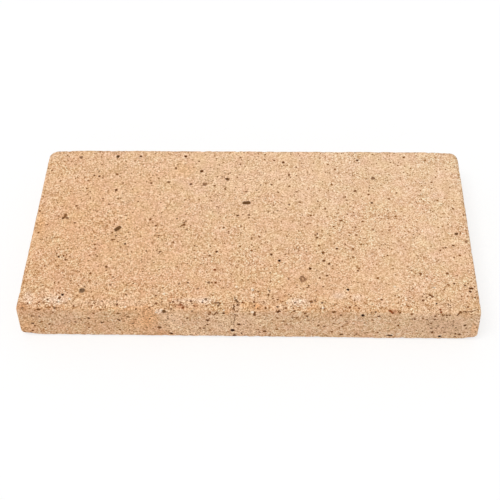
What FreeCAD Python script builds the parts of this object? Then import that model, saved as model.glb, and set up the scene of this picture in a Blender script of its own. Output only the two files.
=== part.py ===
"""Refractory firebrick: a thin pressed slab of fireclay, lying on its large bed face.

Millimetres. +X runs along the length, +Y from the front long side to the back, +Z up.
The origin is the middle of the bed face that it lies on.
"""
import FreeCAD, Part
import math
import os
import Sketcher

NODE = "firebrick"

# Driving sizes: name, millimetres, what it is
SIZES = [
    ("brick_length", 250.0, "along X"),
    ("brick_width", 124.0, "along Y"),
    ("brick_thickness", 25.0, "between the two bed faces"),
    ("back_corner_radius", 6.5, "the two upright corners at the back, seen from above"),
    ("arris_radius", 2.2, "all the other edges, softened by the mould and by handling"),
]

# Ends of a sketch element, and the two sketch axes, as constraints number them
START, END = 1, 2
ORIGIN = (-1, 1)
Y_AXIS = -2

TOLERANCE = 0.001
UP = FreeCAD.Vector(0, 0, 1)


def make_sheet(doc):
    """Each driving size in a cell of its own, under its own name."""
    sheet = doc.addObject("Spreadsheet::Sheet", "Sizes")
    for row, (name, value, note) in enumerate(SIZES, start=1):
        sheet.set(f"A{row}", name)
        sheet.set(f"B{row}", f"{value:g}")
        sheet.set(f"C{row}", note)
        sheet.setAlias(f"B{row}", name)
    doc.recompute()
    return sheet


def origin_plane(body, role):
    """The plane of the body's own origin that has this role."""
    return next(plane for plane in body.Origin.OriginFeatures if plane.Role == role)


def draw_outline(body, sheet):
    """The brick from above: square corners at the front, quarter circles at the back."""
    half_length = sheet.brick_length / 2
    half_width = sheet.brick_width / 2
    radius = sheet.back_corner_radius
    inner_x = half_length - radius
    inner_y = half_width - radius

    def line(x1, y1, x2, y2):
        return sketch.addGeometry(
            Part.LineSegment(FreeCAD.Vector(x1, y1, 0), FreeCAD.Vector(x2, y2, 0)))

    def quarter(x, y, start_angle):
        circle = Part.Circle(FreeCAD.Vector(x, y, 0), UP, radius)
        return sketch.addGeometry(
            Part.ArcOfCircle(circle, start_angle, start_angle + math.pi / 2))

    sketch = body.newObject("Sketcher::SketchObject", "PlanOutline")
    sketch.AttachmentSupport = [(origin_plane(body, "XY_Plane"), "")]
    sketch.MapMode = "FlatFace"

    # Anticlockwise, each element starting where the one before it ends
    front = line(-half_length, -half_width, half_length, -half_width)
    right = line(half_length, -half_width, half_length, inner_y)
    back_right = quarter(inner_x, inner_y, 0)
    back = line(inner_x, half_width, -inner_x, half_width)
    back_left = quarter(-inner_x, inner_y, math.pi / 2)
    left = line(-half_length, inner_y, -half_length, -half_width)

    for before, after in ((front, right), (left, front)):
        sketch.addConstraint(Sketcher.Constraint("Coincident", before, END, after, START))
    for before, after in ((right, back_right), (back_right, back),
                          (back, back_left), (back_left, left)):
        sketch.addConstraint(Sketcher.Constraint("Tangent", before, END, after, START))
    sketch.addConstraint(Sketcher.Constraint("Horizontal", back))
    for element in (right, left):
        sketch.addConstraint(Sketcher.Constraint("Vertical", element))
    sketch.addConstraint(Sketcher.Constraint("Equal", back_right, back_left))
    sketch.addConstraint(Sketcher.Constraint("Symmetric", front, START, front, END, Y_AXIS))

    def drive(constraint, expression):
        index = sketch.addConstraint(constraint)
        sketch.setExpression(f"Constraints[{index}]", expression)

    drive(Sketcher.Constraint("DistanceX", front, START, front, END, 2 * half_length),
          "Sizes.brick_length")
    drive(Sketcher.Constraint("DistanceY", front, END, back, START, 2 * half_width),
          "Sizes.brick_width")
    drive(Sketcher.Constraint("DistanceY", front, START, *ORIGIN, half_width),
          "Sizes.brick_width / 2")
    drive(Sketcher.Constraint("Radius", back_right, radius),
          "Sizes.back_corner_radius")
    return sketch


def press_slab(body, outline):
    """The slab at its full thickness, with every edge still sharp."""
    slab = body.newObject("PartDesign::Pad", "Slab")
    slab.Profile = outline
    slab.setExpression("Length", "Sizes.brick_thickness")
    outline.Visibility = False
    return slab


def sharp_edges(slab, sheet):
    """Names of the edges round both bed faces and of the two upright ones at the front."""
    front_y = -sheet.brick_width / 2
    names = []
    for number, edge in enumerate(slab.Shape.Edges, start=1):
        box = edge.BoundBox
        lies_flat = box.ZLength < TOLERANCE
        at_front = box.YMax < front_y + TOLERANCE
        if lies_flat or at_front:
            names.append(f"Edge{number}")
    return names


def soften_edges(body, slab, sheet):
    """Round the sharp edges over, with a ball corner where three of them meet."""
    arris = body.newObject("PartDesign::Fillet", "Arrises")
    arris.Base = (slab, sharp_edges(slab, sheet))
    arris.setExpression("Radius", "Sizes.arris_radius")
    return arris


def check(doc, body):
    """Stop if an object of the document failed or the brick isn't one sound solid."""
    for item in doc.Objects:
        if "Invalid" in item.State or "Error" in item.State:
            raise RuntimeError(f"{item.Name}: {item.State}")
    shape = body.Shape
    if shape.isNull() or not shape.isValid() or len(shape.Solids) != 1:
        raise RuntimeError(f"{body.Label}: not one valid solid")


def main():
    doc = FreeCAD.newDocument("Firebrick")
    sheet = make_sheet(doc)
    body = doc.addObject("PartDesign::Body", "Brick")
    body.Label = NODE
    outline = draw_outline(body, sheet)
    slab = press_slab(body, outline)
    doc.recompute()
    soften_edges(body, slab, sheet)
    doc.recompute()
    check(doc, body)

    os.makedirs("parts", exist_ok=True)
    body.Shape.exportStep(f"parts/{NODE}.step")
    box = body.Shape.optimalBoundingBox()
    print(f"{NODE}: {box.XLength:.2f} x {box.YLength:.2f} x {box.ZLength:.2f} mm, "
          f"{body.Shape.Volume / 1000:.1f} cm3, {len(body.Shape.Faces)} faces")


main()
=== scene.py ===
"""Refractory firebrick: the looks of a pressed fireclay slab, worn at its edges.

The brick is shaped in millimetres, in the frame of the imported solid, and turned into metres
at the end. Every dent, chip and pit goes inward, so the brick stays inside the solid's box.
"""
from collections import namedtuple
import itertools
import math

import bpy
import numpy as np
from mathutils import Matrix, Vector


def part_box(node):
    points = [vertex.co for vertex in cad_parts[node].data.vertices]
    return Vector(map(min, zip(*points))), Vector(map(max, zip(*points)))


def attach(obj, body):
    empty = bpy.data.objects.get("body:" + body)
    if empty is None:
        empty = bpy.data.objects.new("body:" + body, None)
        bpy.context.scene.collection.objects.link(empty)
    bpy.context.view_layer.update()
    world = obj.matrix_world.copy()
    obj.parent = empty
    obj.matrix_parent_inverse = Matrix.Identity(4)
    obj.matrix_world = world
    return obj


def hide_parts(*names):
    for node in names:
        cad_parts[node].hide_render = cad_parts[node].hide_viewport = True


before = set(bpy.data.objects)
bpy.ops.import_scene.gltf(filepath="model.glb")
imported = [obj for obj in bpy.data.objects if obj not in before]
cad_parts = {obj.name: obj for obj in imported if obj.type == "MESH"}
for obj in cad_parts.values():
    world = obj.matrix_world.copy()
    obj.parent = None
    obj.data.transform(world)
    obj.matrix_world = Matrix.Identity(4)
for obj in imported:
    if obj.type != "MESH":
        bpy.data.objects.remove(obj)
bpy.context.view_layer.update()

NODE = "firebrick"
MM = 0.001

# The solid's own box, in millimetres
LOW, HIGH = (np.array(corner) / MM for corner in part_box(NODE))
LENGTH, WIDTH, THICKNESS = HIGH - LOW

# The camera of the photograph, which is a square of IMAGE_SIDE pixels
IMAGE_SIDE = 500
IMAGE_MIDDLE = (IMAGE_SIDE - 1) / 2
FOCAL_PIXELS = 1007.0
SENSOR_MM = 36.0
CAMERA_PLACE = Vector((0.0182, -0.3873, 0.4506))
CAMERA_PITCH = math.radians(49.14)
CAMERA_ROLL = math.radians(-1.605)
CAMERA_YAW = math.radians(-2.744)

# Light
WORLD_LEVEL = 0.66
KEY_LEVEL = 1.25
KEY_WIDTH = math.radians(30)
KEY_FROM = Vector((-0.35, -0.30, 1.0))
WHITE = (1, 1, 1, 1)

# The floor: how far it reaches from the middle, in metres, how pale it is to the light on the
# brick, and how much it glows to the camera, as shares
FLOOR_REACH = 6.0
FLOOR_GREY = 0.9
FLOOR_GLOW = 0.7

# The mesh's cells and the brick's edges, in millimetres. A front corner has a radius at each
# of the heights.
CELL = 0.92
ARRIS = 2.0
FRONT_CORNER_HEIGHTS = (0.0, 5.0, 17.0)
LEFT_FRONT_CORNER = (3.4, 0.6, 1.6)
RIGHT_FRONT_CORNER = (5.0, 0.4, 1.6)
BACK_CORNER = 5.5

# How far the ends and the back lean in at the top, how far the back's ends are drawn in, and
# between which places along the brick that sets in, in millimetres
LEAN = 0.7
BACK_BOW = 0.9
BOW_START = LENGTH / 2 - 20
BOW_END = LENGTH / 2 - 2

# Unevenness of the mesh: how far across its bumps are, in millimetres, and the seed
LONG_WAVE = (24, 11)
SHORT_WAVE = (8, 12)
STRIP_WAVE = (14, 51)
SWELL = (45, 21)
LUMPS = (6, 22)
CRUMBS = (2.8, 41)
GRAINS = (1.9, 31)
CLODS = (3.6, 61)

# How the edges' radius varies: two waves, as shares of it, then what wear adds at the lower
# front corners and what is missing along the upper front edge, in millimetres. Both fade out
# WEAR_REACH behind the front, and the wear also WEAR_REACH above the foot.
LONG_WAVE_SHARE = 0.14
SHORT_WAVE_SHARE = 0.05
LOWER_CORNER_WEAR = 3.2
UPPER_EDGE_CRISPNESS = 0.6
WEAR_REACH = 6
UPPER_EDGE_START = THICKNESS - 8
UPPER_EDGE_END = THICKNESS - 3
CORNER_START = 115
CORNER_END = 124

# The arris share falls from 1 to 0 between these sums of the distances from two faces, in radii
ARRIS_FADE_START = 0.5
ARRIS_FADE_END = 1.9

# The coarse strip along the front edge: its width in millimetres, how far that sways, which
# share of it has no fade, and by how much it gets plainer between two places along the brick
STRIP_WIDTH = 12
STRIP_SWAY = 4
STRIP_CORE = 0.35
STRIP_FADE = 0.3
STRIP_FADE_START = 50
STRIP_FADE_END = 90

# The strip fades in as a place turns from one of these shares of facing up to the other
STRIP_FACING = (0.5, 1.0)

# How coarse the pressed sides and the arrises are, as shares of the strip
SIDE_ROUGHNESS = 0.25
ARRIS_ROUGHNESS = 0.7

# Depths below the moulded surface, in millimetres. A dome falls away from a grain's middle,
# and a step sets each grain lower or higher than the next; for the small grains both are
# shares of their depth. Edges crumble where noise rises between the two values of CRUMB_RISE.
SWELL_DEPTH = 0.08
LUMP_DEPTH = 0.05
GRAIN_DEPTH = 0.03
COARSE_GRAIN_DEPTH = 0.12
GRAIN_DOME = 0.6
GRAIN_STEP = 0.7
CLOD_DOME = 0.12
CLOD_STEP = 0.14
CRUMB_DEPTH = 0.15
CRUMB_RISE = (0.1, 0.9)

# Chips where the arris share is above CHIPPED_ARRIS, and pits all over. Radii are in
# millimetres, and so is a pit's depth; a chip's depth is a share of its radius, and a hollow's
# floor is flat to the share HOLLOW_FLOOR of its radius.
CHIPS = 260
CHIP_SEED = 8
CHIP_RADII = (0.8, 2.2)
CHIP_DEPTHS = (0.07, 0.22)
CHIPPED_ARRIS = 0.8
PITS = 130
PIT_SEED = 9
PIT_RADII = (0.8, 1.6)
PIT_DEPTHS = (0.06, 0.22)
HOLLOW_FLOOR = 0.2

# The gap between the sides on the flat map, in millimetres
MAP_GAP = 2.0

# Keeps a length from being zero where something is divided by it
TINY = 1e-6

# Colours as they look, 0 to 255
TINTS = {
    "iron": (102, 57, 18),
    "dun": (114, 78, 46),
    "ash": (122, 92, 66),
    "clay": (132, 86, 47),
    "rust": (140, 74, 34),
    "umber": (154, 113, 80),
    "red": (200, 140, 104),
    # The pit tint is painted shade: the dark inside of small pits, too small for the mesh
    "pit": (52, 24, 6),
    # The chalk tint is pale grains, and along the front edge partly painted highlights on lit
    # sides of grains and chips
    "chalk": (252, 228, 200),
    "ochre": (227, 165, 110),
    "burnt": (196, 138, 92),
    "scuff": (246, 220, 198),
    "pale": (236, 201, 168),
    "grey": (206, 169, 138),
}

# Round marks, by tint: x and y in the photograph and width in millimetres
SPOTS = {
    "iron": [
        (140, 155, 1.5), (185, 155, 1.8), (357, 159, 1.7), (283, 161, 2.0), (201, 170, 2.1),
        (93, 174, 1.1), (98, 175, 1.4), (190, 183, 1.6), (115, 189, 1.8), (289, 204, 1.3),
        (237, 215, 1.4), (176, 218, 0.9), (317, 233, 1.2), (124, 243, 1.4), (337, 248, 1.4),
        (216, 251, 1.4), (271, 254, 1.6), (57, 256, 1.4), (310, 268, 1.7), (187, 282, 1.1),
        (466, 285, 1.1), (471, 291, 1.5), (382, 299, 1.2), (172, 301, 1.2), (254, 305, 1.0),
        (372, 312, 0.9), (376, 312, 1.2), (223, 313, 1.3), (234, 314, 0.9), (379, 316, 1.4),
        (88, 318, 1.5), (207, 320, 1.8), (101, 322, 1.4), (32, 323, 1.4), (238, 324, 1.7),
        (465, 325, 1.6), (171, 333, 1.6), (241, 333, 1.1), (234, 335, 1.8),
    ],
    # Painted shade: small pits, dark inside
    "pit": [
        (279, 260, 1.6), (348, 289, 1.6), (61, 294, 1.6), (437, 303, 1.2), (363, 315, 2.0),
        (232, 330, 2.4), (439, 336, 1.9),
    ],
    "dun": [
        (117, 155, 2.4), (227, 178, 2.2), (372, 202, 1.5), (457, 233, 2.1), (476, 297, 1.2),
        (163, 311, 2.3), (459, 334, 1.8),
    ],
    "ash": [
        (80.5, 289.8, 3.1), (269, 290, 1.2), (205, 299, 1.7), (295, 302, 1.1), (322, 302, 1.3),
        (277, 306, 1.2),
    ],
    "clay": [
        (274, 159, 1.5), (175, 167, 1.7), (98, 170, 1.1), (116, 173, 1.7), (168, 181, 1.8),
        (355, 190, 1.7), (369, 190, 1.0), (397, 192, 0.9), (265, 198, 0.9), (389, 198, 1.3),
        (286, 208, 1.0), (325, 208, 1.3), (268, 211, 1.0), (73, 222, 1.2), (183, 222.3, 1.4),
        (183.3, 224, 1.9), (155, 225, 1.5), (223, 227, 1.5), (115, 235, 1.2), (317, 237, 1.4),
        (111, 239, 1.4), (194, 245, 1.2), (454, 245, 1.5), (446, 247, 1.1), (94, 248, 1.1),
        (159, 251, 1.4), (323, 252, 1.8), (209, 255, 1.3), (64, 259, 1.3), (324, 260, 1.8),
        (329, 263, 1.6), (105, 266, 1.6), (358, 270, 1.3), (421, 273, 1.6), (448, 273, 1.8),
        (327, 275, 1.4), (69, 280, 1.0), (455, 283, 1.1), (308.6, 285, 1.0), (323, 286, 1.1),
        (307, 287, 1.0), (258, 291, 1.1), (125, 294, 1.1), (268, 294, 1.3), (155, 295, 1.3),
        (58, 297, 1.7), (273, 298, 1.2), (46, 299, 1.2), (311, 301, 2.0), (356, 305, 1.0),
        (148, 307, 1.2), (135, 309, 1.2), (294, 311, 1.5), (334, 312, 1.9), (117, 313, 1.6),
        (217, 313, 1.0), (208, 314, 1.2), (341, 315, 1.3), (447, 315, 1.3), (450, 315, 1.2),
        (307, 316, 1.4), (283, 321, 1.0), (346, 321, 1.0), (431, 323, 1.4), (318, 325, 1.4),
        (324, 326, 1.2), (342, 326, 1.2), (159, 327, 2.3), (264, 331, 2.0),
    ],
    "umber": [
        (80, 156, 2.3), (373, 177, 2.4), (204, 183, 2.9), (185, 220.5, 1.0), (182.5, 227.3, 0.9),
        (186, 229, 1.1), (373, 229, 1.7), (467, 241, 1.9), (288.6, 278.3, 1.4), (208, 282, 1.6),
        (178, 283, 1.5), (109, 284, 1.5), (296.6, 284.5, 1.0), (197, 288, 1.0), (315, 300, 1.1),
        (169, 302, 1.0), (53, 307, 1.6), (468, 307, 0.7), (20, 308, 1.7), (170, 308, 1.6),
        (191, 311, 1.3), (38, 316, 1.3), (308, 320, 1.2), (132, 323, 1.4), (431, 328, 1.3),
        (436, 328, 1.2), (259, 332, 1.5), (444, 332, 1.3), (356, 334, 1.3),
    ],
    "rust": [
        (214, 269, 1.5), (180, 304, 1.1), (182, 307, 1.6), (350, 307, 1.2), (441, 309, 1.4),
        (390, 310, 1.2), (442, 312, 1.3),
    ],
    # Pale grains, partly painted highlights on lit sides of grains and chips
    "chalk": [
        (236, 286, 1.4), (395, 286, 1.3), (435, 287, 1.4), (252, 289, 1.7), (163, 293, 1.5),
        (68, 298, 1.3), (407, 299, 1.2), (300, 300, 1.6), (57, 301, 1.4), (28, 302, 1.0),
        (287, 302, 1.0), (124, 306, 1.3), (323, 307, 1.6), (160, 310, 1.2), (223, 310, 1.1),
        (155, 312, 1.3), (252, 312, 1.9),
    ],
}

# Long marks, the cracks among them: tint, width in millimetres, x and y in the photograph
STROKES = [
    # Dark grains and blots
    ("dun", 2.5, [(115, 229), (118, 227)]),
    ("dun", 2.6, [(244, 202), (248, 202)]),
    ("clay", 1.2, [(340, 220), (342, 220)]),
    ("clay", 0.9, [(182, 224.5), (180, 225.5)]),
    ("umber", 1.5, [(300.5, 278), (302, 275.8), (304, 277.5), (305.3, 279), (302, 280.8),
                    (300.7, 278.5)]),
    ("clay", 1.5, [(61.5, 217.5), (63.5, 216), (64, 214)]),
    ("umber", 1.3, [(63.5, 216), (66.5, 217.5)]),
    ("umber", 0.9, [(214, 302), (217, 302), (219, 303), (218, 305)]),
    ("clay", 0.9, [(213, 315), (216, 312)]),
    ("clay", 1.3, [(254, 312), (254, 315)]),
    ("iron", 1.1, [(277, 312), (279, 311)]),
    ("iron", 1.0, [(117, 319), (119, 320)]),
    ("clay", 1.5, [(36, 309.3), (37.5, 309.3)]),
    ("clay", 1.2, [(430, 294), (433, 296)]),
    ("iron", 1.5, [(471, 288), (473, 288)]),
    # Painted shade in a small pit
    ("pit", 1.1, [(387, 335), (391, 335)]),
    ("iron", 1.0, [(340, 334), (342, 334)]),
    ("rust", 1.3, [(390, 310), (393, 313)]),
    # The crack in the middle, its dark strokes painted shade inside it
    ("dun", 0.6, [(234, 296), (235, 299)]),
    ("dun", 1.2, [(235, 299), (237, 301)]),
    ("clay", 0.6, [(233, 304), (233, 307), (234, 310)]),
    ("umber", 0.5, [(235, 314), (233, 325)]),
    # The crack at the right end, its dark strokes painted shade inside it
    ("clay", 0.9, [(458, 315), (460, 313), (461, 311)]),
    ("clay", 0.7, [(461, 311), (463, 312), (465, 311), (467, 312), (470, 311), (472, 311)]),
    ("umber", 0.6, [(472, 311), (475, 310), (478, 309)]),
]

# The hidden sides have spots like these, scattered, and a tint named more often is likelier.
# A place is hidden where it faces up, and to the front, by less than HIDDEN_FACING.
HIDDEN_SPOTS = 260
HIDDEN_SEED = 5
HIDDEN_WIDTHS = (0.8, 1.8)
HIDDEN_FACING = 0.5
# The pit tint among these is painted shade
HIDDEN_TINTS = ("iron", "iron", "clay", "clay", "clay", "ash", "rust", "pit", "chalk")

# Soft patches, by tint: x, y, half width and half height in the photograph, and strength. They
# fade in as a place turns from one of the two shares of facing up or front to the other.
PATCH_FACING = (0.0, 0.3)
PATCHES = {
    "ochre": [
        (182, 169, 14, 8, 0.2), (105, 205, 75, 60, 0.1), (40, 222, 5, 15, 0.35),
        (225, 250, 10, 8, 0.15), (172, 256, 9, 7, 0.15), (252, 306, 15, 5, 0.3),
        (257, 306, 5, 4, 0.7), (130, 308, 14, 4, 0.2), (226, 312, 3, 2.5, 0.6),
        (147, 319, 11, 13, 0.5), (134, 322, 9, 7, 0.35), (26, 325, 7, 9, 0.35),
        (473, 328, 6, 8, 0.35),
    ],
    "pale": [
        (53, 156, 5, 4, 0.5), (255, 176, 60, 16, 0.25), (268, 182, 9, 7, 0.3),
        (125, 197, 9, 7, 0.25), (220, 209, 7, 5, 0.25), (276, 210, 9, 6, 0.35),
        (248, 212, 8, 6, 0.3), (317, 272, 6, 5, 0.35), (83, 286, 4, 3, 0.5), (43, 290, 7, 5, 0.35),
        (156, 290, 6, 4, 0.4), (130, 295, 7, 5, 0.35), (426, 297, 9, 4, 0.4),
        (262, 301, 7, 4, 0.4), (108, 302, 62, 4, 0.4), (187, 303, 14, 4, 0.5),
        (448, 305, 7, 4, 0.6), (279, 306, 8, 4, 0.4), (236, 307, 5, 4, 0.6),
        (430, 318, 30, 8, 0.2), (171, 319, 12, 11, 0.5), (62, 320, 16, 6, 0.25),
        (477, 320, 4, 6, 0.4), (235, 322, 30, 9, 0.4), (195, 332, 15, 4, 0.5),
        (250, 332, 8, 4, 0.5),
    ],
    "burnt": [
        (60, 215, 6, 5, 0.25), (263, 222, 9, 7, 0.15), (459, 272, 6, 5, 0.35),
        (304, 279, 5, 4, 0.4), (142, 291, 4, 3, 0.35), (410, 291, 8, 5, 0.2),
        (283, 297, 5, 4, 0.4), (22, 306, 5, 4, 0.6), (182, 306, 9, 3, 0.3), (38, 309, 8, 2.5, 0.5),
        (392, 309, 9, 3, 0.25), (328, 315, 6, 4, 0.4), (340, 315, 9, 4, 0.3),
        (466, 315, 6, 4, 0.4), (160, 332, 6, 4, 0.4),
    ],
    "scuff": [
        (338, 295, 6, 3, 0.5), (27, 297, 5, 7, 0.45), (357, 297, 4, 3, 0.4), (56, 299, 13, 5, 0.5),
        (188, 300, 18, 2.2, 0.45), (203, 300, 9, 3, 0.65), (298, 301, 10, 3, 0.6),
        (159, 311, 5, 2.5, 0.6),
    ],
    "red": [
        (180, 305, 4, 3, 0.7), (195, 305, 3, 2.5, 0.7), (394, 311, 4, 3, 0.8),
    ],
    "grey": [
        (445, 326, 30, 9, 0.6),
    ],
}


def linear(colour):
    """A colour as it looks, 0 to 255, as the light that it gives, by the sRGB curve."""
    share = np.array(colour) / 255
    return np.where(share <= 0.04045, share / 12.92, ((share + 0.055) / 1.055) ** 2.4)


def blend(start, end, value):
    """0 below start, 1 above end, with a smooth rise between."""
    t = np.clip((value - start) / (end - start), 0, 1)
    return t * t * (3 - 2 * t)


# The photograph's camera

def camera_axes():
    """The camera's right, up and forward directions."""
    forward = Vector((math.sin(CAMERA_YAW) * math.cos(CAMERA_PITCH),
                      math.cos(CAMERA_YAW) * math.cos(CAMERA_PITCH),
                      -math.sin(CAMERA_PITCH)))
    level = Vector((math.cos(CAMERA_YAW), -math.sin(CAMERA_YAW), 0.0))
    upright = level.cross(forward)
    right = math.cos(CAMERA_ROLL) * level + math.sin(CAMERA_ROLL) * upright
    up = math.cos(CAMERA_ROLL) * upright - math.sin(CAMERA_ROLL) * level
    return right, up, forward


def in_photo(points):
    """Where the points appear in the photograph."""
    right, up, forward = (np.array(axis) for axis in camera_axes())
    seen = points - np.array(CAMERA_PLACE) / MM
    scale = FOCAL_PIXELS / (seen @ forward)
    return np.column_stack([IMAGE_MIDDLE + seen @ right * scale,
                            IMAGE_MIDDLE - seen @ up * scale])


def on_brick(x, y):
    """Where the sight line of a place in the photograph meets the top or the front face."""
    right, up, forward = (np.array(axis) for axis in camera_axes())
    ray = forward * FOCAL_PIXELS + (x - IMAGE_MIDDLE) * right + (IMAGE_MIDDLE - y) * up
    start = np.array(CAMERA_PLACE) / MM
    hit = start + ray * (HIGH[2] - start[2]) / ray[2]
    if hit[1] < LOW[1]:
        hit = start + ray * (LOW[1] - start[1]) / ray[1]
    return lean_in(round_over(np.clip(hit, LOW, HIGH)[None])[0])[0]


# Noise for the mesh, the same on every run. A cell's number is scrambled with whole numbers
# of 64 bits, after a shift that leaves no cell with a negative place.
SCRAMBLE_FACTORS = (0x9E3779B1, 0x85EBCA77, 0xC2B2AE3D)
SCRAMBLE_BITS = np.uint64(15)
SCRAMBLE_MASK = 0xFFFFFF
CELL_SHIFT = 100000


def scrambled(cells, seed):
    """A number from 0 to 1 for each cell of a lattice."""
    mixed = np.full(cells.shape[:-1], seed + 1, dtype=np.uint64)
    for axis, factor in enumerate(SCRAMBLE_FACTORS):
        mixed = (mixed ^ (cells[..., axis] + CELL_SHIFT).astype(np.uint64)) * np.uint64(factor)
        mixed ^= mixed >> SCRAMBLE_BITS
    return (mixed & np.uint64(SCRAMBLE_MASK)) / float(SCRAMBLE_MASK)


def smooth_noise(points, size, seed):
    """Gentle bumps about size across, from -1 to 1."""
    cells = np.floor(points / size).astype(int)
    t = points / size - cells
    t = t * t * (3 - 2 * t)
    total = np.zeros(len(points))
    for corner in itertools.product((0, 1), repeat=3):
        weight = np.prod(np.where(corner, t, 1 - t), axis=1)
        total += weight * scrambled(cells + corner, seed)
    return 2 * total - 1


def grains(points, size, seed):
    """How far the nearest grain's middle is, in grain sizes, and that grain's own number."""
    cells = np.floor(points / size).astype(int)
    nearest = np.full(len(points), np.inf)
    number = np.zeros(len(points))
    for step in itertools.product((-1, 0, 1), repeat=3):
        cell = cells + step
        middle = cell + np.stack([scrambled(cell, seed + axis) for axis in range(3)], axis=1)
        distance = np.linalg.norm(points / size - middle, axis=1)
        closer = distance < nearest
        nearest[closer] = distance[closer]
        number[closer] = scrambled(cell, seed + 3)[closer]
    return nearest, number


# The brick's mesh

def box_lattice(counts):
    """The corners of the cells that cover a box, the four corners of each, and its side."""
    faces = []
    sides = []
    for axis in range(3):
        across, along = (axis + 1) % 3, (axis + 2) % 3
        first, second = np.meshgrid(np.arange(counts[across]), np.arange(counts[along]),
                                    indexing="ij")
        for far in (0, 1):
            ring = [(0, 0), (1, 0), (1, 1), (0, 1)]
            cell = np.zeros(first.shape + (4, 3), dtype=int)
            cell[..., axis] = far * counts[axis]
            for place, (one, two) in enumerate(ring if far else ring[::-1]):
                cell[..., place, across] = first + one
                cell[..., place, along] = second + two
            faces.append(cell.reshape(-1, 4, 3))
            sides.append(np.full(first.size, 2 * axis + far))
    faces = np.concatenate(faces)
    corners, index = np.unique(faces.reshape(-1, 3), axis=0, return_inverse=True)
    return corners, index.reshape(-1, 4), np.concatenate(sides)


def outline(points):
    """Each point fitted to the brick's rounded plan, how far inside it lies, and the way out."""
    half = np.array([LENGTH, WIDTH]) / 2
    plan = points[:, :2].copy()
    signs = np.sign(plan)
    left, right = (np.interp(points[:, 2], FRONT_CORNER_HEIGHTS, radii)
                   for radii in (LEFT_FRONT_CORNER, RIGHT_FRONT_CORNER))
    front = np.where(plan[:, 0] < 0, left, right)
    radius = np.where(plan[:, 1] > 0, BACK_CORNER, front)[:, None]
    past = np.abs(plan) - (half - radius)
    in_corner = (past > 0).all(axis=1)
    corner = past[in_corner]
    corner *= corner.max(axis=1, keepdims=True) / np.linalg.norm(corner, axis=1, keepdims=True)
    plan[in_corner] = (signs * (half - radius))[in_corner] + signs[in_corner] * corner

    gaps = half - np.abs(plan)
    nearer = gaps.argmin(axis=1)
    inside = gaps.min(axis=1)
    out = np.zeros_like(plan)
    out[np.arange(len(plan)), nearer] = signs[np.arange(len(plan)), nearer]
    reach = np.linalg.norm(corner, axis=1)
    inside[in_corner] = radius[in_corner, 0] - reach
    out[in_corner] = signs[in_corner] * corner / reach[:, None]
    return plan, inside, out


def arris_radius(points):
    """The edges' radius: uneven, small along the upper front, large at the lower front corners."""
    radius = ARRIS * (1 + LONG_WAVE_SHARE * smooth_noise(points, *LONG_WAVE)
                      + SHORT_WAVE_SHARE * smooth_noise(points, *SHORT_WAVE))
    front = 1 - blend(0, WEAR_REACH, points[:, 1] - LOW[1])
    upper = blend(UPPER_EDGE_START, UPPER_EDGE_END, points[:, 2])
    corner = blend(CORNER_START, CORNER_END, np.abs(points[:, 0]))
    lower_corner = corner * (1 - blend(0, WEAR_REACH, points[:, 2]))
    return radius + front * (LOWER_CORNER_WEAR * lower_corner
                             - UPPER_EDGE_CRISPNESS * upper * (1 - corner))


def round_over(points):
    """The points of the sharp box on the softened brick, their normals, and the arris share."""
    plan, inside, out = outline(points)
    radius = arris_radius(points)
    upper = points[:, 2] > THICKNESS / 2
    depth = np.where(upper, THICKNESS - points[:, 2], points[:, 2])
    in_plan = np.maximum(radius - inside, 0)
    in_height = np.maximum(radius - depth, 0)
    length = np.maximum(np.hypot(in_plan, in_height), TINY)
    on_arris = (in_plan > 0) & (in_height > 0)
    sideways = np.where(on_arris, radius * (1 - in_plan / length) - inside, 0)
    downward = np.where(on_arris, radius * (1 - in_height / length) - depth, 0)
    way = np.where(upper, 1.0, -1.0)
    placed = np.column_stack([plan - out * sideways[:, None], points[:, 2] - way * downward])
    normals = np.column_stack([out * (in_plan / length)[:, None], way * in_height / length])
    share = 1 - blend(ARRIS_FADE_START * radius, ARRIS_FADE_END * radius, inside + depth)
    return placed, normals, share


def lean_in(points):
    """The points with the ends and the back leaning in towards the top, and the back bowed."""
    inward = LEAN * (points[:, 2] / THICKNESS) ** 2
    x = points[:, 0] * (1 - inward * 2 / LENGTH)
    bow = BACK_BOW * blend(BOW_START, BOW_END, np.abs(points[:, 0]))
    y = points[:, 1] - (inward + bow) * blend(0, WIDTH / 2, points[:, 1])
    return np.column_stack([x, y, points[:, 2]])


def front_strip(points, normals):
    """The coarse strip of the top face along its front edge, as a share."""
    edge = STRIP_WIDTH + STRIP_SWAY * smooth_noise(points, *STRIP_WAVE)
    strip = 1 - blend(STRIP_CORE * edge, edge, points[:, 1] - LOW[1])
    strip = strip * blend(*STRIP_FACING, normals[:, 2])
    return strip * (1 - STRIP_FADE * blend(STRIP_FADE_START, STRIP_FADE_END, points[:, 0]))


def relief(points, arris, rough):
    """How far each point lies below the moulded surface, in millimetres."""
    swell = SWELL_DEPTH + SWELL_DEPTH * smooth_noise(points, *SWELL)
    lumps = LUMP_DEPTH + LUMP_DEPTH * smooth_noise(points, *LUMPS)
    distance, number = grains(points, *GRAINS)
    grain = (GRAIN_DEPTH + COARSE_GRAIN_DEPTH * rough) * (distance * GRAIN_DOME
                                                          + number * GRAIN_STEP)
    distance, number = grains(points, *CLODS)
    clod = rough * (CLOD_DOME * distance + CLOD_STEP * number - CLOD_DOME)
    crumbled = arris * CRUMB_DEPTH * blend(*CRUMB_RISE, smooth_noise(points, *CRUMBS))
    return swell + lumps + grain + clod + crumbled


def scoops(points, middles, radii, depths):
    """Round-bottomed hollows cut at these places."""
    cut = np.zeros(len(points))
    for middle, radius, depth in zip(middles, radii, depths):
        away = np.linalg.norm(points - middle, axis=1) / radius
        cut = np.maximum(cut, depth * (1 - blend(HOLLOW_FLOOR, 1.0, away)))
    return cut


def chips(points, arris):
    """Small chips along all the edges."""
    dice = np.random.default_rng(CHIP_SEED)
    chosen = dice.choice(np.flatnonzero(arris > CHIPPED_ARRIS), CHIPS, replace=False)
    radii = dice.uniform(*CHIP_RADII, CHIPS)
    return scoops(points, points[chosen], radii, radii * dice.uniform(*CHIP_DEPTHS, CHIPS))


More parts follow.
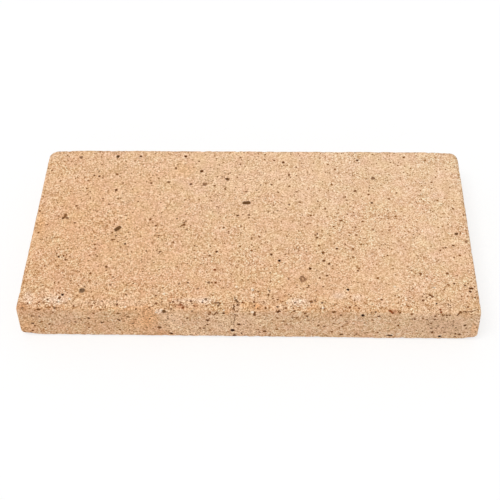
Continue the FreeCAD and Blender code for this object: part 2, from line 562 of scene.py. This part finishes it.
def pits(points):
    """Shallow hollows where a grain fell out."""
    dice = np.random.default_rng(PIT_SEED)
    chosen = dice.choice(len(points), PITS, replace=False)
    radii = dice.uniform(*PIT_RADII, PITS)
    return scoops(points, points[chosen], radii, dice.uniform(*PIT_DEPTHS, PITS))


def all_marks(points, normals):
    """Every mark's two ends, radius and colour; a spot's two ends are in the same place."""
    marks = []
    for tint, spots in SPOTS.items():
        for x, y, width in spots:
            place = on_brick(x, y)
            marks.append((place, place, width / 2, tint))
    for tint, width, trace in STROKES:
        knots = [on_brick(x, y) for x, y in trace]
        for start, end in zip(knots, knots[1:]):
            marks.append((start, end, width / 2, tint))
    dice = np.random.default_rng(HIDDEN_SEED)
    hidden = (normals[:, 2] < HIDDEN_FACING) & (normals[:, 1] > -HIDDEN_FACING)
    for place in points[dice.choice(np.flatnonzero(hidden), HIDDEN_SPOTS, replace=False)]:
        marks.append((place, place, dice.uniform(*HIDDEN_WIDTHS) / 2, dice.choice(HIDDEN_TINTS)))
    starts, ends, radii, tints = zip(*marks)
    colours = [linear(TINTS[tint]) for tint in tints]
    return np.array(starts), np.array(ends), np.array(radii), np.array(colours)


def nearest_mark(points, starts, ends, radii):
    """The number of the mark whose rim is nearest to each point."""
    best = np.full(len(points), np.inf)
    number = np.zeros(len(points), dtype=int)
    for index, (start, end, radius) in enumerate(zip(starts, ends, radii)):
        run = end - start
        along = np.clip((points - start) @ run / max(run @ run, TINY), 0, 1)
        rim = np.linalg.norm(points - start - along[:, None] * run, axis=1) - radius
        closer = rim < best
        best[closer] = rim[closer]
        number[closer] = index
    return number


def soft_patches(points, normals):
    """Each point's patch colour and how strongly it shows."""
    where = in_photo(points)
    faces_camera = blend(*PATCH_FACING, np.maximum(normals[:, 2], -normals[:, 1]))
    colour = np.tile(linear(TINTS["pale"]), (len(points), 1))
    amount = np.zeros(len(points))
    for tint, patches in PATCHES.items():
        for x, y, half_width, half_height, strength in patches:
            away = np.hypot((where[:, 0] - x) / half_width, (where[:, 1] - y) / half_height)
            share = strength * np.exp(-away ** 2) * faces_camera
            stronger = share > amount
            colour[stronger] = linear(TINTS[tint])
            amount[stronger] = share[stronger]
    return np.column_stack([colour, amount])


def unwrap(corners, faces, sides):
    """Each side of the box laid flat on its own part of a square map."""
    row = WIDTH + MAP_GAP
    column = LENGTH + MAP_GAP
    band = THICKNESS + MAP_GAP
    # Sides 0 and 1 are the ends, 2 and 3 the front and the back, 4 and 5 the foot and the top
    starts = {4: (0, 0), 5: (0, row), 2: (0, 2 * row), 3: (0, 2 * row + band),
              0: (column, 0), 1: (column, row)}
    axes = {0: (2, 1), 1: (2, 1), 2: (0, 2), 3: (0, 2), 4: (0, 1), 5: (0, 1)}
    square = max(column + band, 2 * row + 2 * band)
    flat = np.zeros(faces.shape + (2,))
    for side, start in starts.items():
        mine = sides == side
        spread = corners[faces[mine]][..., axes[side]] - LOW[list(axes[side])]
        flat[mine] = (spread + start + np.array(MAP_GAP / 2)) / square
    return flat


def make_brick():
    """The whole brick as one closed mesh, with what its material needs to know."""
    counts = np.round((HIGH - LOW) / CELL).astype(int)
    corners, faces, sides = box_lattice(counts)
    sharp = LOW + corners / counts * (HIGH - LOW)
    placed, normals, arris = round_over(sharp)
    placed = lean_in(placed)
    rough = np.maximum(front_strip(placed, normals), ARRIS_ROUGHNESS * arris)
    rough = np.maximum(rough, SIDE_ROUGHNESS * (1 - np.abs(normals[:, 2])))
    depth = relief(placed, arris, rough) + np.maximum(chips(placed, arris), pits(placed))
    surface = placed - normals * (depth - depth.min())[:, None]
    starts, ends, radii, colours = all_marks(placed, normals)
    nearest = nearest_mark(placed[faces].mean(axis=1), starts, ends, radii)

    mesh = bpy.data.meshes.new(NODE)
    mesh.from_pydata((surface * MM).tolist(), [], faces.tolist())
    mesh.shade_smooth()

    def keep(name, domain, kind, field, values):
        attribute = mesh.attributes.new(name, kind, domain)
        attribute.data.foreach_set(field, values.astype(np.float32).ravel())

    def by_face(values):
        return np.repeat(values[nearest], 4, axis=0)

    keep("mark_offset", "CORNER", "FLOAT_VECTOR", "vector",
         placed[faces.ravel()] - by_face(starts))
    keep("mark_run", "CORNER", "FLOAT_VECTOR", "vector", by_face(ends - starts))
    keep("mark_look", "CORNER", "FLOAT_COLOR", "color",
         by_face(np.column_stack([colours, radii])))
    keep("patch", "POINT", "FLOAT_COLOR", "color", soft_patches(placed, normals))
    keep("rough", "POINT", "FLOAT", "value", rough)
    uv_map = mesh.uv_layers.new(name="OFBake")
    uv_map.data.foreach_set("uv", unwrap(sharp, faces, sides).astype(np.float32).ravel())

    brick = bpy.data.objects.new("pressed_brick", mesh)
    bpy.context.collection.objects.link(brick)
    return brick


# Materials

# The Mix node's sockets for colours
FIRST_COLOUR, SECOND_COLOUR, MIXED_COLOUR = 6, 7, 2

# Dots in the clay, in the cells of a lattice of this size in millimetres, moved by start so
# that no two kinds fall in line. The chance that a cell has one is plain, and coarse is added
# to it where the clay is rough. The radius is a share of the cell, and core of the radius.
Dots = namedtuple("Dots", "start size plain coarse radius core")
CREAM_DOTS = Dots((0.0, 0.0, 0.0), 1.5, 0.10, 0.20, 0.40, 0.4)
BROWN_DOTS = Dots((7.0, 3.0, 5.0), 1.7, 0.20, 0.20, 0.36, 0.4)
PINHOLES = Dots((2.0, 9.0, 4.0), 1.1, 0.16, 0.0, 0.38, 0.6)
GAPS = Dots((5.0, 1.0, 8.0), 2.1, 0.08, 0.17, 0.28, 0.7)


class Graph:
    """The node tree of a material, with short ways to add to it."""

    def __init__(self, name):
        self.material = bpy.data.materials.new(name)
        self.material.use_nodes = True
        self.nodes = self.material.node_tree.nodes
        self.links = self.material.node_tree.links
        self.shader = self.nodes["Principled BSDF"]
        self.output = self.nodes["Material Output"]

    def feed(self, socket, value):
        """Give an input a value, or link it to an output."""
        if isinstance(value, bpy.types.NodeSocket):
            self.links.new(value, socket)
        else:
            socket.default_value = value

    def add(self, kind, inputs=(), **settings):
        """A node with these settings, its inputs given by name or number."""
        node = self.nodes.new("ShaderNode" + kind)
        for name, value in settings.items():
            setattr(node, name, value)
        for key, value in dict(inputs).items():
            self.feed(node.inputs[key], value)
        return node

    def calc(self, operation, *values):
        return self.add("Math", enumerate(values), operation=operation).outputs[0]

    def total(self, first, *others):
        for other in others:
            first = self.calc("ADD", first, other)
        return first

    def scaled(self, vector, factor):
        return self.add("VectorMath", {0: vector, "Scale": factor},
                        operation="SCALE").outputs["Vector"]

    def moved(self, vector, step):
        return self.add("VectorMath", {0: vector, 1: step}, operation="ADD").outputs["Vector"]

    def rise(self, value, start, end):
        """0 at start, 1 at end, with a smooth rise between."""
        return self.add("MapRange", {"Value": value, "From Min": start, "From Max": end},
                        interpolation_type="SMOOTHSTEP").outputs["Result"]

    def mix(self, factor, first, second, blend_type="MIX"):
        node = self.add("Mix", {"Factor": factor}, data_type="RGBA", blend_type=blend_type)
        self.feed(node.inputs[FIRST_COLOUR], first)
        self.feed(node.inputs[SECOND_COLOUR], second)
        return node.outputs[MIXED_COLOUR]

    def tinted(self, colour, factors):
        """A colour multiplied by another one or by factors."""
        return self.mix(1.0, colour, factors, "MULTIPLY")

    def noise(self, vector, size, height=1.0):
        """Cloudy noise with features about size across, centred on zero."""
        node = self.add("TexNoise", {"Vector": vector, "Scale": 1 / size, "Detail": 2.0})
        return self.calc("MULTIPLY", self.calc("SUBTRACT", node.outputs[0], 0.5), height)

    def dot(self, one, other):
        return self.add("VectorMath", {0: one, 1: other}, operation="DOT_PRODUCT").outputs["Value"]

    def length(self, vector):
        return self.add("VectorMath", {0: vector}, operation="LENGTH").outputs["Value"]

    def cells(self, vector, size):
        """Cells about size across: distance to the middle, and three numbers of each cell."""
        node = self.add("TexVoronoi", {"Vector": vector, "Scale": 1 / size})
        numbers = self.add("SeparateColor", {"Color": node.outputs["Color"]})
        return node.outputs["Distance"], numbers.outputs

    def dots(self, vector, rough, kind):
        """1 in dots of this kind, 0 between them."""
        distance, numbers = self.cells(self.moved(vector, kind.start), kind.size)
        chance = self.calc("MULTIPLY_ADD", rough, kind.coarse, kind.plain)
        chosen = self.calc("LESS_THAN", numbers[0], chance)
        reach = self.calc("MULTIPLY", self.calc("ADD", numbers[1], 0.5), kind.radius)
        inside = self.rise(distance, reach, self.calc("MULTIPLY", reach, kind.core))
        return self.calc("MULTIPLY", inside, chosen)

    def seams(self, vector, size, width):
        """Lines between cells about size across; width is a share of the cell's size."""
        node = self.add("TexVoronoi", {"Vector": vector, "Scale": 1 / size},
                        feature="DISTANCE_TO_EDGE")
        return self.rise(node.outputs["Distance"], width, 0.0)

    def spread(self, number, height):
        """A cell's number from 0 to 1 as a shift of up to height / 2 either way."""
        return self.calc("MULTIPLY", self.calc("SUBTRACT", number, 0.5), height)

    def attribute(self, name):
        return self.add("Attribute", attribute_name=name)


def solid_colour(colour):
    return (*linear(colour), 1.0)


# The clay's colour at each shift of brightness from the plain clay, in 255ths
SHADES = ((-115, (122, 63, 4)), (-62, (172, 120, 68)), (0, (226, 183, 144)),
          (30, (254, 213, 175)), (64, (255, 241, 210)))

# How the firing tinted the clay, as factors on its colour. The pale and deep ends also carry
# painted light and shade, and the side tint painted bounce light from the floor.
PALE_FIRED_AND_LIT = (1.03, 1.10, 1.16, 1.0)
DEEP_FIRED_AND_SHADED = (0.97, 0.90, 0.83, 1.0)
ROSY = (1.01, 0.985, 1.03, 1.0)
SALLOW = (0.99, 1.015, 0.97, 1.0)
STAIN = (1.0, 0.94, 0.84, 1.0)
# Painted light: the sides' cooler tint stands in for bounce light from the floor
SIDE_BOUNCE_TINT = (0.968, 1.0, 1.034, 1.0)

# How much deeper the colour is at the left end, fired deeper, and at the front, painted shade as
# if the light fell off away from the back, than in the middle; and how much paler at the foot than
# at the top, painted bounce light from the floor, as shares
DEEPER_LEFT = 0.34
PAINTED_SHADE_FRONT = 0.30
PAINTED_BOUNCE_FOOT = 0.08

# Clouds of noise: how far across they are, in millimetres, and how strong. Stains show where
# their clouds rise between the two values of STAIN_RISE.
FIRING_CLOUDS = ((38, 0.8), (7, 0.7))
BLUSH_CLOUDS = (9, 2.4)
STAIN_CLOUDS = (4.5, 1.0)
STAIN_RISE = (0.02, 0.16)

# How far below the top the sides have their own cooler tint, painted bounce light from the floor,
# in millimetres
SIDE_START = 5.0

# The shift of brightness that doubles the light of a patch or mark, and a patch's strength
SHADE_SPAN = 105
BREAK_SPAN = 110


def clay_colour(graph, place, tone, rough):
    """The fired clay's colour at a shift of brightness: deeper to the left, painted shade to the
    front.
    """
    ramp = graph.add("ValToRGB", {"Fac": graph.calc("MULTIPLY_ADD", tone, 1 / 255, 0.5)})
    stops = ramp.color_ramp.elements
    while len(stops) < len(SHADES):
        stops.new(0.5)
    for stop, (shift, shade) in zip(stops, SHADES):
        stop.position = 0.5 + shift / 255
        stop.color = solid_colour(shade)
    axes = graph.add("SeparateXYZ", {0: place}).outputs
    # Painted light in the colour: shade deepens the front, and bounce light from the floor pales
    # the foot
    deep_and_shaded = graph.total(0.5, graph.calc("MULTIPLY", axes[0], -DEEPER_LEFT / (LENGTH / 2)),
                       graph.calc("MULTIPLY", axes[1], -PAINTED_SHADE_FRONT / (WIDTH / 2)),
                       graph.calc("MULTIPLY_ADD", axes[2], PAINTED_BOUNCE_FOOT / THICKNESS, -PAINTED_BOUNCE_FOOT),
                       *(graph.noise(place, *clouds) for clouds in FIRING_CLOUDS))
    blush = graph.mix(graph.total(0.5, graph.noise(place, *BLUSH_CLOUDS)), SALLOW, ROSY)
    colour = graph.tinted(ramp.outputs["Color"], graph.mix(deep_and_shaded, PALE_FIRED_AND_LIT, DEEP_FIRED_AND_SHADED))
    colour = graph.tinted(colour, blush)
    # Painted bounce light: the sides below the top turn cooler
    below = graph.rise(axes[2], THICKNESS, THICKNESS - SIDE_START)
    colour = graph.mix(below, colour, graph.tinted(colour, SIDE_BOUNCE_TINT))
    stained = graph.rise(graph.noise(place, *STAIN_CLOUDS), *STAIN_RISE)
    stained = graph.calc("MULTIPLY", rough, stained)
    return graph.mix(stained, colour, graph.tinted(colour, STAIN))


def grained(graph, colour, grain):
    """A colour that the grain makes lighter and darker."""
    shade = graph.calc("ADD", 1.0, graph.calc("DIVIDE", grain, SHADE_SPAN))
    grey = graph.add("CombineColor", enumerate((shade,) * 3)).outputs[0]
    return graph.tinted(colour, grey)


def add_patches(graph, colour, grain, tone):
    """Soft patches of other tints, broken up by the grain."""
    patch = graph.attribute("patch")
    broken = graph.calc("ADD", 1.0, graph.calc("DIVIDE", grain, BREAK_SPAN))
    amount = graph.calc("MULTIPLY", patch.outputs["Alpha"], broken)
    return graph.mix(amount, colour, grained(graph, patch.outputs["Color"], tone))


# A mark's rim fades between these shares of its radius, and sways by up to half of MARK_SWAY
# either way, in millimetres
MARK_FADE = (1.25, 0.8)
MARK_SWAY = 1.1

# Keeps the squared length of a round mark's run from being zero
TINY_RUN = 1e-4


def mark_share(graph, sway):
    """1 inside a mark, 0 outside, with a frayed rim."""
    offset = graph.moved(graph.attribute("mark_offset").outputs["Vector"],
                         graph.scaled(sway, MARK_SWAY))
    run = graph.attribute("mark_run").outputs["Vector"]
    length = graph.calc("MAXIMUM", graph.dot(run, run), TINY_RUN)
    along = graph.calc("DIVIDE", graph.dot(offset, run), length)
    along = graph.calc("MINIMUM", graph.calc("MAXIMUM", along, 0.0), 1.0)
    foot = graph.scaled(run, graph.calc("MULTIPLY", along, -1.0))
    away = graph.length(graph.moved(offset, foot))
    away = graph.calc("DIVIDE", away, graph.attribute("mark_look").outputs["Alpha"])
    return graph.rise(away, *MARK_FADE)


# How the clay's pattern is bent, in millimetres: how far across a bend is, and how far it goes
SWAY_SIZE = 0.7
SWAY = 0.6
WIDE_SWAY_SIZE = 2.2
WIDE_SWAY = 3.0

# The clay's grains, the seams between them and the clefts: sizes in millimetres, and widths
# as shares of them. Clefts open where their clouds rise between the values of CLEFT_RISE.
FINE_SIZE = 0.57
COARSE_SIZE = 1.35
SEAM_START = (1.0, 6.0, 2.0)
SEAM_SIZE = 1.15
SEAM_WIDTH = 0.16
CLEFT_SIZE = 3.2
CLEFT_WIDTH = 0.12
CLEFT_CLOUDS = (2.6, 1.0)
CLEFT_RISE = (-0.02, 0.12)

# How deep a pinhole and a cleft are, and how dark their painted shade, where a gap is 1
PINHOLE_SHARE = 0.8
CLEFT_SHARE = 0.55

# How vivid the grain is: what rough adds, its clouds, and what each millimetre takes away
# behind the middle and to the right
VIVID_ROUGH = 0.2
VIVID_CLOUDS = (15, 1.2)
FAINTER_BACK = 0.0025
FAINTER_RIGHT = 0.0006

# Shifts of brightness in 255ths; those of the seams and holes are painted shade between and in the
# grains, partly the darker clay there. Each cloud has its size in millimetres before its shift.
FINE_SHIFT = 90
COARSE_SHIFT = 12
SEAM_SHADE_SHIFT = -16
CREAM_SHIFT = 22
BROWN_SHIFT = -28
GRAIN_LEVEL = 5.0
HOLE_SHADE_SHIFT = -95
TONE_CLOUDS = ((7, 9), (40, 10))
TONE_LEVEL = 4.0

# Heights in millimetres
FINE_DOME = -0.09
FINE_STEP = 0.07
COARSE_DOME = -0.08
CREAM_HEIGHT = 0.05
BROWN_HEIGHT = -0.10
HOLE_HEIGHT = -0.3
MARK_HEIGHT = -0.12

# The clay's surface, as shares
CLAY_ROUGHNESS = 0.92
CLAY_SHINE = 0.1


def fireclay():
    """Pressed and fired clay: cream, tan and brown grains, pinholes and iron spots."""
    graph = Graph("fireclay")
    place = graph.scaled(graph.add("TexCoord").outputs["Object"], 1 / MM)
    sway = graph.add("TexNoise", {"Vector": place, "Scale": 1 / SWAY_SIZE, "Detail": 1.0})
    sway = graph.moved(sway.outputs["Color"], (-0.5, -0.5, -0.5))
    swayed = graph.moved(place, graph.scaled(sway, SWAY))
    wide_sway = graph.add("TexNoise",
                          {"Vector": place, "Scale": 1 / WIDE_SWAY_SIZE, "Detail": 2.0})
    bent = graph.moved(place, graph.scaled(wide_sway.outputs["Color"], WIDE_SWAY))
    rough = graph.attribute("rough").outputs["Fac"]
    axes = graph.add("SeparateXYZ", {0: place}).outputs
    behind = graph.calc("MAXIMUM", axes[1], 0.0)
    vivid = graph.total(1.0, graph.calc("MULTIPLY", rough, VIVID_ROUGH),
                        graph.noise(place, *VIVID_CLOUDS),
                        graph.calc("MULTIPLY", behind, -FAINTER_BACK),
                        graph.calc("MULTIPLY", axes[0], -FAINTER_RIGHT))

    # Grains, and the seams and holes between them, darkened partly as painted shade
    fine_distance, fine = graph.cells(swayed, FINE_SIZE)
    coarse_distance, coarse = graph.cells(swayed, COARSE_SIZE)
    seam = graph.seams(graph.moved(swayed, SEAM_START), SEAM_SIZE, SEAM_WIDTH)
    cream = graph.dots(swayed, rough, CREAM_DOTS)
    brown = graph.dots(swayed, rough, BROWN_DOTS)
    pinhole = graph.calc("MULTIPLY", graph.dots(swayed, rough, PINHOLES), PINHOLE_SHARE)
    gap = graph.dots(swayed, rough, GAPS)
    cleft = graph.calc("MULTIPLY", graph.seams(bent, CLEFT_SIZE, CLEFT_WIDTH),
                       graph.rise(graph.noise(place, *CLEFT_CLOUDS), *CLEFT_RISE))
    cleft = graph.calc("MULTIPLY", graph.calc("MULTIPLY", cleft, rough), CLEFT_SHARE)
    hole = graph.calc("MAXIMUM", graph.calc("MAXIMUM", gap, pinhole), cleft)
    grain = graph.total(graph.spread(fine[0], FINE_SHIFT), graph.spread(coarse[0], COARSE_SHIFT),
                        GRAIN_LEVEL, graph.calc("MULTIPLY", seam, SEAM_SHADE_SHIFT),
                        graph.calc("MULTIPLY", cream, CREAM_SHIFT),
                        graph.calc("MULTIPLY", brown, BROWN_SHIFT))
    # The holes darken the colour: painted shade inside them
    tone = graph.total(graph.calc("MULTIPLY", grain, vivid),
                       graph.calc("MULTIPLY", hole, HOLE_SHADE_SHIFT),
                       *(graph.noise(place, *clouds) for clouds in TONE_CLOUDS), TONE_LEVEL)

    colour = add_patches(graph, clay_colour(graph, place, tone, rough), grain, tone)
    mark = mark_share(graph, sway)
    mark_colour = grained(graph, graph.attribute("mark_look").outputs["Color"], grain)
    colour = graph.mix(mark, colour, mark_colour)

    pebbles = graph.total(graph.calc("MULTIPLY", fine_distance, FINE_DOME),
                          graph.spread(fine[1], FINE_STEP),
                          graph.calc("MULTIPLY", coarse_distance, COARSE_DOME),
                          graph.calc("MULTIPLY", cream, CREAM_HEIGHT),
                          graph.calc("MULTIPLY", brown, BROWN_HEIGHT))
    height = graph.total(graph.calc("MULTIPLY", pebbles, vivid),
                         graph.calc("MULTIPLY", hole, HOLE_HEIGHT),
                         graph.calc("MULTIPLY", mark, MARK_HEIGHT))
    bump = graph.add("Bump", {"Height": height, "Distance": MM, "Strength": 1.0})

    graph.feed(graph.shader.inputs["Base Color"], colour)
    graph.feed(graph.shader.inputs["Normal"], bump.outputs["Normal"])
    graph.shader.inputs["Roughness"].default_value = CLAY_ROUGHNESS
    graph.shader.inputs["Specular IOR Level"].default_value = CLAY_SHINE
    return graph.material


def white_floor():
    """White to the camera, with a faint shadow, and plainly pale to the light on the brick."""
    graph = Graph("floor")
    path = graph.add("LightPath").outputs
    seen = graph.calc("MAXIMUM", path["Is Camera Ray"],
                      graph.calc("MAXIMUM", path["Is Glossy Ray"], path["Is Transmission Ray"]))
    pale = (FLOOR_GREY, FLOOR_GREY, FLOOR_GREY, 1)
    diffuse = graph.add("BsdfDiffuse", {"Color": graph.mix(seen, pale, WHITE)})
    glow = graph.add("Emission", {"Color": WHITE, "Strength": 1.0})
    surface = graph.add("MixShader", {0: graph.calc("MULTIPLY", seen, FLOOR_GLOW),
                                      1: diffuse.outputs[0], 2: glow.outputs[0]})
    graph.feed(graph.output.inputs["Surface"], surface.outputs[0])
    return graph.material


# The set

def make_floor():
    """A wide floor that the brick lies on."""
    mesh = bpy.data.meshes.new("floor")
    corners = [(x * FLOOR_REACH, y * FLOOR_REACH, 0)
               for x, y in ((-1, -1), (1, -1), (1, 1), (-1, 1))]
    mesh.from_pydata(corners, [], [(0, 1, 2, 3)])
    floor = bpy.data.objects.new("floor", mesh)
    bpy.context.collection.objects.link(floor)
    mesh.materials.append(white_floor())


def make_light():
    """An even white sky and one wide soft key, high and a little to the front left."""
    world = bpy.data.worlds.new("studio")
    bpy.context.scene.world = world
    world.use_nodes = True
    nodes, links = world.node_tree.nodes, world.node_tree.links
    sky = nodes["Background"]
    sky.inputs["Strength"].default_value = WORLD_LEVEL
    sky.inputs["Color"].default_value = WHITE
    seen = nodes.new("ShaderNodeBackground")
    seen.inputs["Color"].default_value = WHITE
    seen.inputs["Strength"].default_value = 1.0
    path = nodes.new("ShaderNodeLightPath")
    mix = nodes.new("ShaderNodeMixShader")
    links.new(path.outputs["Is Camera Ray"], mix.inputs[0])
    links.new(sky.outputs[0], mix.inputs[1])
    links.new(seen.outputs[0], mix.inputs[2])
    links.new(mix.outputs[0], nodes["World Output"].inputs["Surface"])

    key = bpy.data.lights.new("key", "SUN")
    key.energy = KEY_LEVEL
    key.angle = KEY_WIDTH
    lamp = bpy.data.objects.new("key", key)
    lamp.rotation_mode = "QUATERNION"
    lamp.rotation_quaternion = KEY_FROM.to_track_quat("Z", "Y")
    bpy.context.collection.objects.link(lamp)


def make_camera():
    """The photograph's camera."""
    lens = bpy.data.cameras.new("camera")
    lens.sensor_width = SENSOR_MM
    lens.lens = FOCAL_PIXELS / IMAGE_SIDE * SENSOR_MM
    camera = bpy.data.objects.new("camera", lens)
    right, up, forward = camera_axes()
    turn = Matrix((right, up, -forward)).transposed()
    camera.matrix_world = Matrix.Translation(CAMERA_PLACE) @ turn.to_4x4()
    bpy.context.collection.objects.link(camera)
    bpy.context.scene.camera = camera


brick = make_brick()
brick.data.materials.append(fireclay())
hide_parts(NODE)
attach(brick, "root")
make_floor()
make_light()
make_camera()
bpy.context.scene.view_settings.view_transform = "Standard"
